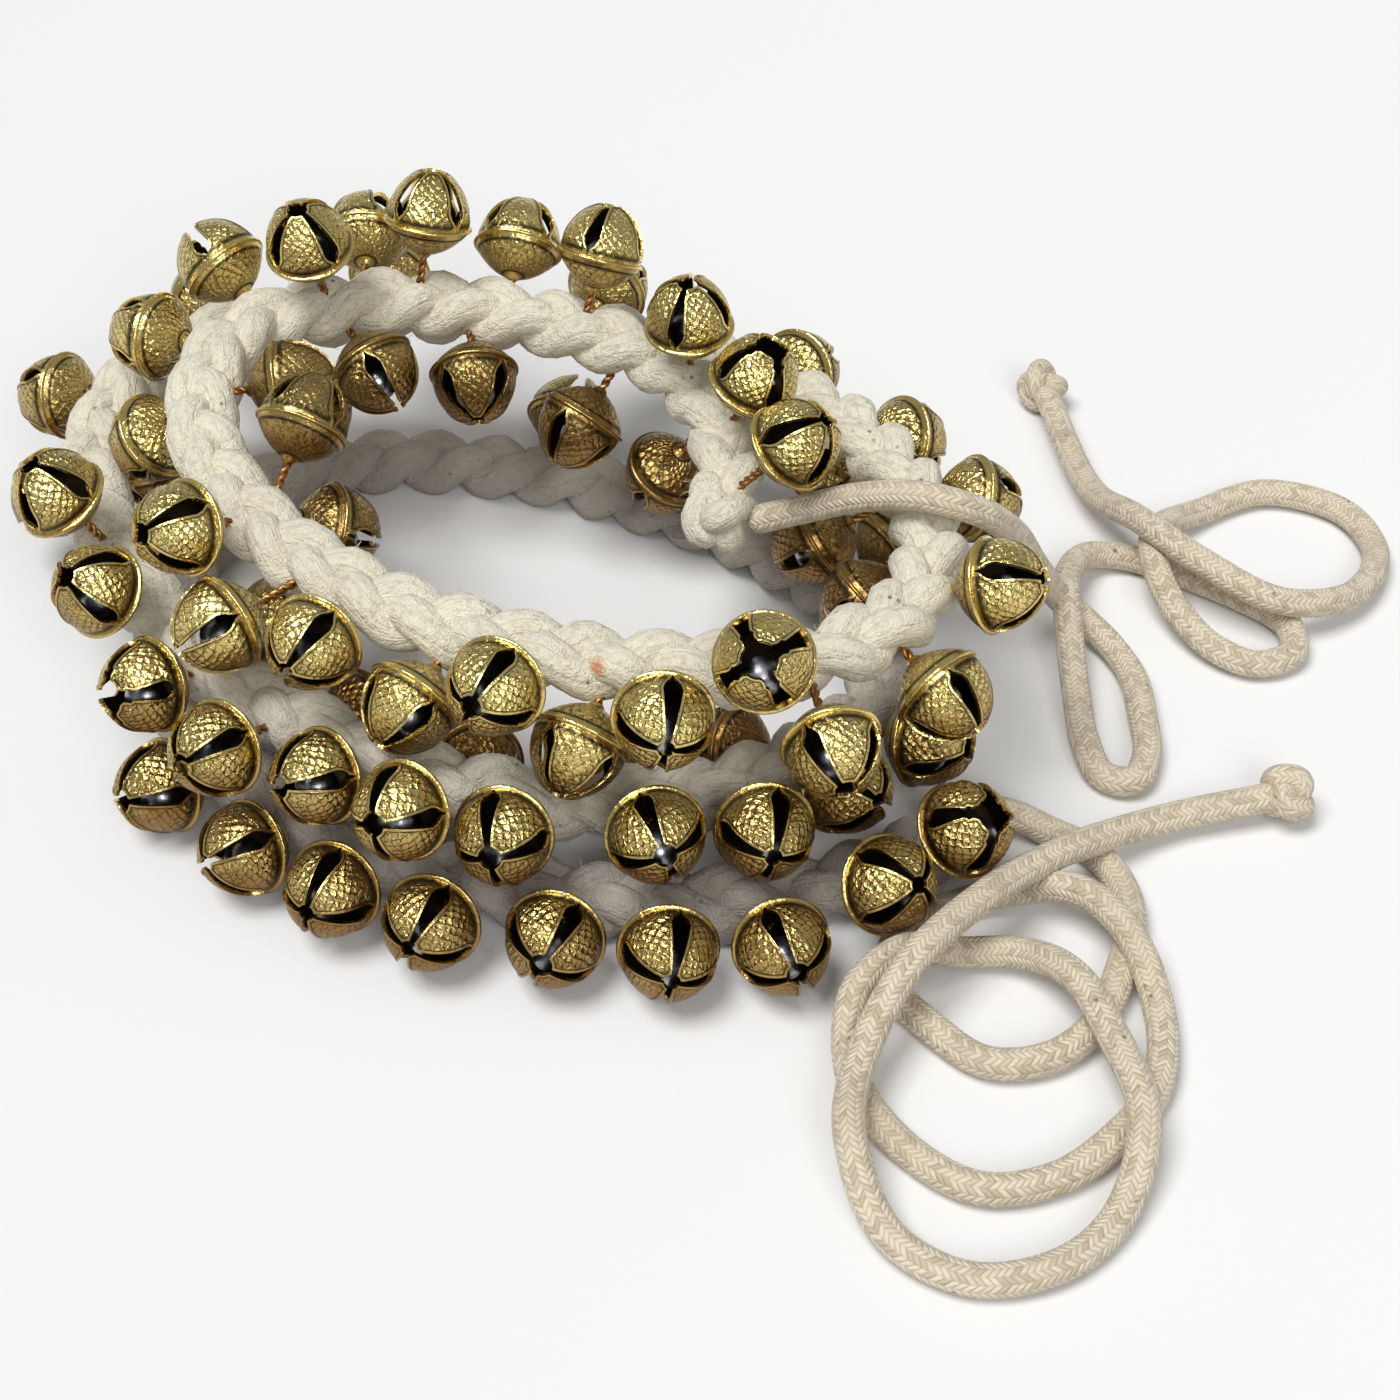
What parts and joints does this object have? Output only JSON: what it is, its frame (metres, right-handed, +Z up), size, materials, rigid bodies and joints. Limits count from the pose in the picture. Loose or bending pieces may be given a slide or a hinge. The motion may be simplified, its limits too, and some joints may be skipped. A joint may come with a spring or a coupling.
{
  "type": "ghungroo ankle bells",
  "caption": "Brass pellet bells wired along a thick plaited cotton strand that lies in a loose coil, with a tying cord at each end, worn round the ankle to sound a dancer's steps.",
  "frame": {"origin": "middle of the coil with its bells, without the tying cords, on the surface that it stands on", "axes": "+Z up from the surface; +X to the right and +Y to the back as the coil is seen in the picture"},
  "size_m": [0.2589, 0.2289, 0.0675],
  "materials": {
    "plait": "soft undyed cotton plait",
    "cord": "undyed braided cotton cord",
    "bell": "aged brass with a stippled relief",
    "pellet": "dark plain steel"
  },
  "bodies": {
    "strand": {"strand": "plait", "upper_end_knot": "plait", "lower_end_knot": "plait", "upper_cord": "cord", "upper_cord_knot": "cord", "lower_cord": "cord", "lower_cord_knot": "cord"},
    "bell_01": {"bell_01": "bell"},
    "bell_02": {"bell_02": "bell"},
    "bell_03": {"bell_03": "bell"},
    "bell_04": {"bell_04": "bell"},
    "bell_05": {"bell_05": "bell"},
    "bell_06": {"bell_06": "bell"},
    "bell_07": {"bell_07": "bell"},
    "bell_08": {"bell_08": "bell"},
    "bell_09": {"bell_09": "bell"},
    "bell_10": {"bell_10": "bell"},
    "bell_11": {"bell_11": "bell"},
    "bell_12": {"bell_12": "bell"},
    "bell_13": {"bell_13": "bell"},
    "bell_14": {"bell_14": "bell"},
    "bell_15": {"bell_15": "bell"},
    "bell_16": {"bell_16": "bell"},
    "bell_17": {"bell_17": "bell"},
    "bell_18": {"bell_18": "bell"},
    "bell_19": {"bell_19": "bell"},
    "bell_20": {"bell_20": "bell"},
    "bell_21": {"bell_21": "bell"},
    "bell_22": {"bell_22": "bell"},
    "bell_23": {"bell_23": "bell"},
    "bell_24": {"bell_24": "bell"},
    "bell_25": {"bell_25": "bell"},
    "bell_26": {"bell_26": "bell"},
    "bell_27": {"bell_27": "bell"},
    "bell_28": {"bell_28": "bell"},
    "bell_29": {"bell_29": "bell"},
    "bell_30": {"bell_30": "bell"},
    "bell_31": {"bell_31": "bell"},
    "bell_32": {"bell_32": "bell"},
    "bell_33": {"bell_33": "bell"},
    "bell_34": {"bell_34": "bell"},
    "bell_35": {"bell_35": "bell"},
    "bell_36": {"bell_36": "bell"},
    "bell_37": {"bell_37": "bell"},
    "bell_38": {"bell_38": "bell"},
    "bell_39": {"bell_39": "bell"},
    "bell_40": {"bell_40": "bell"},
    "bell_41": {"bell_41": "bell"},
    "bell_42": {"bell_42": "bell"},
    "bell_43": {"bell_43": "bell"},
    "bell_44": {"bell_44": "bell"},
    "bell_45": {"bell_45": "bell"},
    "bell_46": {"bell_46": "bell"},
    "bell_47": {"bell_47": "bell"},
    "pellet_16": {"pellet_16": "pellet"},
    "pellet_18": {"pellet_18": "pellet"},
    "pellet_19": {"pellet_19": "pellet"},
    "pellet_33": {"pellet_33": "pellet"},
    "pellet_41": {"pellet_41": "pellet"},
    "pellet_47": {"pellet_47": "pellet"}
  },
  "joints": [
    {"name": "bell_01_swing", "type": "hinge", "parent": "strand", "child": "bell_01", "pos_m": [0.04251, 0.01648, 0.04273], "axis": [-0.1815, 0.9699, 0.1622], "range_deg": [-14, 14]},
    {"name": "bell_02_swing", "type": "hinge", "parent": "strand", "child": "bell_02", "pos_m": [0.03437, 0.03005, 0.04543], "axis": [-0.5968, 0.8, 0.0621], "range_deg": [-14, 14]},
    {"name": "bell_03_swing", "type": "hinge", "parent": "strand", "child": "bell_03", "pos_m": [0.01595, 0.04659, 0.04757], "axis": [-0.9286, 0.3642, 0.0706], "range_deg": [-14, 14]},
    {"name": "bell_04_swing", "type": "hinge", "parent": "strand", "child": "bell_04", "pos_m": [0.00105, 0.05274, 0.04615], "axis": [-0.9879, 0.1503, 0.0371], "range_deg": [-14, 14]},
    {"name": "bell_05_swing", "type": "hinge", "parent": "strand", "child": "bell_05", "pos_m": [-0.01521, 0.05143, 0.05028], "axis": [-0.9853, 0.0085, 0.1704], "range_deg": [-14, 7]},
    {"name": "bell_06_swing", "type": "hinge", "parent": "strand", "child": "bell_06", "pos_m": [-0.02626, 0.05436, 0.04691], "axis": [-0.991, -0.0697, 0.1143], "range_deg": [-8, 14]},
    {"name": "bell_07_swing", "type": "hinge", "parent": "strand", "child": "bell_07", "pos_m": [-0.04607, 0.0443, 0.04869], "axis": [-0.6939, -0.72, -0.0064], "range_deg": [-14, 12]},
    {"name": "bell_08_swing", "type": "hinge", "parent": "strand", "child": "bell_08", "pos_m": [-0.05421, 0.03485, 0.04522], "axis": [-0.4216, -0.9065, -0.0212], "range_deg": [-12, 14]},
    {"name": "bell_09_swing", "type": "hinge", "parent": "strand", "child": "bell_09", "pos_m": [-0.05591, 0.01864, 0.0408], "axis": [-0.0718, -0.9771, -0.2004], "range_deg": [-14, 14]},
    {"name": "bell_10_swing", "type": "hinge", "parent": "strand", "child": "bell_10", "pos_m": [-0.04233, -0.01637, 0.04457], "axis": [0.6891, -0.7135, -0.1267], "range_deg": [-14, 14]},
    {"name": "bell_11_swing", "type": "hinge", "parent": "strand", "child": "bell_11", "pos_m": [-0.02184, -0.03598, 0.04093], "axis": [0.9032, -0.4241, -0.0664], "range_deg": [-14, 14]},
    {"name": "bell_12_swing", "type": "hinge", "parent": "strand", "child": "bell_12", "pos_m": [-0.00551, -0.0437, 0.03761], "axis": [0.8414, -0.5336, -0.0852], "range_deg": [-13, 14]},
    {"name": "bell_13_swing", "type": "hinge", "parent": "strand", "child": "bell_13", "pos_m": [0.00814, -0.04866, 0.04121], "axis": [0.9226, -0.3852, 0.0189], "range_deg": [-14, 6]},
    {"name": "bell_14_swing", "type": "hinge", "parent": "strand", "child": "bell_14", "pos_m": [0.02039, -0.05071, 0.03609], "axis": [0.9152, -0.3714, -0.1563], "range_deg": [-13, 6]},
    {"name": "bell_15_swing", "type": "hinge", "parent": "strand", "child": "bell_15", "pos_m": [0.02995, -0.05306, 0.0403], "axis": [0.998, 0.0511, -0.0379], "range_deg": [-13, 5]},
    {"name": "bell_16_swing", "type": "hinge", "parent": "strand", "child": "bell_16", "pos_m": [0.04698, -0.05041, 0.04308], "axis": [0.984, 0.0207, 0.1772], "range_deg": [-12, 6]},
    {"name": "bell_17_swing", "type": "hinge", "parent": "strand", "child": "bell_17", "pos_m": [0.05408, -0.05015, 0.03783], "axis": [0.9736, 0.2252, -0.036], "range_deg": [-6, 7]},
    {"name": "bell_18_swing", "type": "hinge", "parent": "strand", "child": "bell_18", "pos_m": [0.06968, -0.04024, 0.03623], "axis": [0.7212, 0.6904, -0.0568], "range_deg": [-14, 4]},
    {"name": "bell_19_swing", "type": "hinge", "parent": "strand", "child": "bell_19", "pos_m": [0.07701, -0.02835, 0.04003], "axis": [0.3837, 0.9222, -0.0486], "range_deg": [-14, 14]},
    {"name": "bell_20_swing", "type": "hinge", "parent": "strand", "child": "bell_20", "pos_m": [0.07726, 0.00676, 0.03351], "axis": [-0.2679, 0.9596, -0.0859], "range_deg": [-14, 14]},
    {"name": "bell_21_swing", "type": "hinge", "parent": "strand", "child": "bell_21", "pos_m": [0.06697, 0.02558, 0.03195], "axis": [-0.5323, 0.842, -0.0874], "range_deg": [-14, 14]},
    {"name": "bell_22_swing", "type": "hinge", "parent": "strand", "child": "bell_22", "pos_m": [0.05001, 0.04383, 0.03161], "axis": [-0.8037, 0.5943, -0.0271], "range_deg": [-14, 14]},
    {"name": "bell_23_swing", "type": "hinge", "parent": "strand", "child": "bell_23", "pos_m": [0.01539, 0.06421, 0.03261], "axis": [-0.9361, 0.3506, -0.0273], "range_deg": [-14, 14]},
    {"name": "bell_24_swing", "type": "hinge", "parent": "strand", "child": "bell_24", "pos_m": [-0.02525, 0.07266, 0.03112], "axis": [-0.9995, 0.0141, -0.0279], "range_deg": [-14, 14]},
    {"name": "bell_25_swing", "type": "hinge", "parent": "strand", "child": "bell_25", "pos_m": [-0.05606, 0.06637, 0.02956], "axis": [-0.8993, -0.4348, -0.0472], "range_deg": [-14, 14]},
    {"name": "bell_26_swing", "type": "hinge", "parent": "strand", "child": "bell_26", "pos_m": [-0.07686, 0.04383, 0.02727], "axis": [-0.3351, -0.9393, -0.0741], "range_deg": [-14, 14]},
    {"name": "bell_27_swing", "type": "hinge", "parent": "strand", "child": "bell_27", "pos_m": [-0.07814, 0.02641, 0.02276], "axis": [-0.0127, -0.992, -0.1255], "range_deg": [-14, 14]},
    {"name": "bell_28_swing", "type": "hinge", "parent": "strand", "child": "bell_28", "pos_m": [-0.06059, -0.01753, 0.02797], "axis": [0.6321, -0.7679, -0.1041], "range_deg": [-14, 14]},
    {"name": "bell_29_swing", "type": "hinge", "parent": "strand", "child": "bell_29", "pos_m": [-0.04964, -0.03137, 0.02402], "axis": [0.729, -0.6808, -0.0715], "range_deg": [-14, 8]},
    {"name": "bell_30_swing", "type": "hinge", "parent": "strand", "child": "bell_30", "pos_m": [-0.03487, -0.04295, 0.02281], "axis": [0.8182, -0.5713, -0.064], "range_deg": [-14, 3]},
    {"name": "bell_31_swing", "type": "hinge", "parent": "strand", "child": "bell_31", "pos_m": [-0.01942, -0.05196, 0.02204], "axis": [0.7551, -0.6531, 0.0567], "range_deg": [-14, 2]},
    {"name": "bell_32_swing", "type": "hinge", "parent": "strand", "child": "bell_32", "pos_m": [0.00678, -0.06028, 0.02003], "axis": [0.9815, -0.1876, -0.037], "range_deg": [-14, 0]},
    {"name": "bell_33_swing", "type": "hinge", "parent": "strand", "child": "bell_33", "pos_m": [0.02746, -0.05944, 0.01891], "axis": [0.9829, 0.1712, -0.0683], "range_deg": [-14, 0]},
    {"name": "bell_34_swing", "type": "hinge", "parent": "strand", "child": "bell_34", "pos_m": [0.04491, -0.05387, 0.01719], "axis": [0.9887, 0.1452, 0.0377], "range_deg": [-7, 7]},
    {"name": "bell_35_swing", "type": "hinge", "parent": "strand", "child": "bell_35", "pos_m": [0.05458, -0.04786, 0.01671], "axis": [0.7952, 0.6017, -0.0747], "range_deg": [-9, 14]},
    {"name": "bell_36_swing", "type": "hinge", "parent": "strand", "child": "bell_36", "pos_m": [0.06655, -0.0359, 0.01503], "axis": [0.542, 0.835, -0.0946], "range_deg": [-8, 11]},
    {"name": "bell_37_swing", "type": "hinge", "parent": "strand", "child": "bell_37", "pos_m": [0.06497, 0.01232, 0.01023], "axis": [-0.5186, 0.849, -0.1015], "range_deg": [-14, 14]},
    {"name": "bell_38_swing", "type": "hinge", "parent": "strand", "child": "bell_38", "pos_m": [0.00786, 0.05398, 0.00696], "axis": [-0.9539, 0.3, 0], "range_deg": [-14, 6]},
    {"name": "bell_39_swing", "type": "hinge", "parent": "strand", "child": "bell_39", "pos_m": [-0.04831, -0.03733, 0.00677], "axis": [0.7161, -0.6973, -0.0307], "range_deg": [-14, 2]},
    {"name": "bell_40_swing", "type": "hinge", "parent": "strand", "child": "bell_40", "pos_m": [-0.03231, -0.05183, 0.00677], "axis": [0.7296, -0.682, 0.051], "range_deg": [-12, 5]},
    {"name": "bell_41_swing", "type": "hinge", "parent": "strand", "child": "bell_41", "pos_m": [-0.01938, -0.05899, 0.00686], "axis": [0.9233, -0.3836, -0.0216], "range_deg": [-8, 8]},
    {"name": "bell_42_swing", "type": "hinge", "parent": "strand", "child": "bell_42", "pos_m": [-0.00365, -0.06578, 0.00677], "axis": [0.9492, -0.3147, 0], "range_deg": [-14, 4]},
    {"name": "bell_43_swing", "type": "hinge", "parent": "strand", "child": "bell_43", "pos_m": [0.01466, -0.07026, 0.00686], "axis": [0.9809, -0.1943, 0.0108], "range_deg": [-11, 4]},
    {"name": "bell_44_swing", "type": "hinge", "parent": "strand", "child": "bell_44", "pos_m": [0.0305, -0.07147, 0.00668], "axis": [0.9974, 0.0674, -0.0242], "range_deg": [-11, 3]},
    {"name": "bell_45_swing", "type": "hinge", "parent": "strand", "child": "bell_45", "pos_m": [0.04661, -0.07044, 0.00668], "axis": [0.966, 0.2569, -0.029], "range_deg": [-11, 3]},
    {"name": "bell_46_swing", "type": "hinge", "parent": "strand", "child": "bell_46", "pos_m": [0.06202, -0.06555, 0.00887], "axis": [0.8452, 0.5114, -0.1555], "range_deg": [-6, 4]},
    {"name": "bell_47_swing", "type": "hinge", "parent": "strand", "child": "bell_47", "pos_m": [0.07459, -0.0574, 0.01005], "axis": [0.7452, 0.6527, -0.1366], "range_deg": [-8, 3]},
    {"name": "pellet_16_rattle", "type": "slide", "parent": "bell_16", "child": "pellet_16", "axis": [-0.106, -0.7311, 0.674], "range_m": [0, 0.0018]},
    {"name": "pellet_18_rattle", "type": "slide", "parent": "bell_18", "child": "pellet_18", "axis": [0.6353, -0.6918, -0.3432], "range_m": [0, 0.0018]},
    {"name": "pellet_19_rattle", "type": "slide", "parent": "bell_19", "child": "pellet_19", "axis": [0.8612, -0.3383, 0.3793], "range_m": [0, 0.0018]},
    {"name": "pellet_33_rattle", "type": "slide", "parent": "bell_33", "child": "pellet_33", "axis": [0.1842, -0.9018, 0.391], "range_m": [0, 0.0018]},
    {"name": "pellet_41_rattle", "type": "slide", "parent": "bell_41", "child": "pellet_41", "axis": [-0.3586, -0.8807, 0.3095], "range_m": [0, 0.0018]},
    {"name": "pellet_47_rattle", "type": "slide", "parent": "bell_47", "child": "pellet_47", "axis": [0.4881, -0.3944, 0.7786], "range_m": [0, 0.0018]}
  ]
}
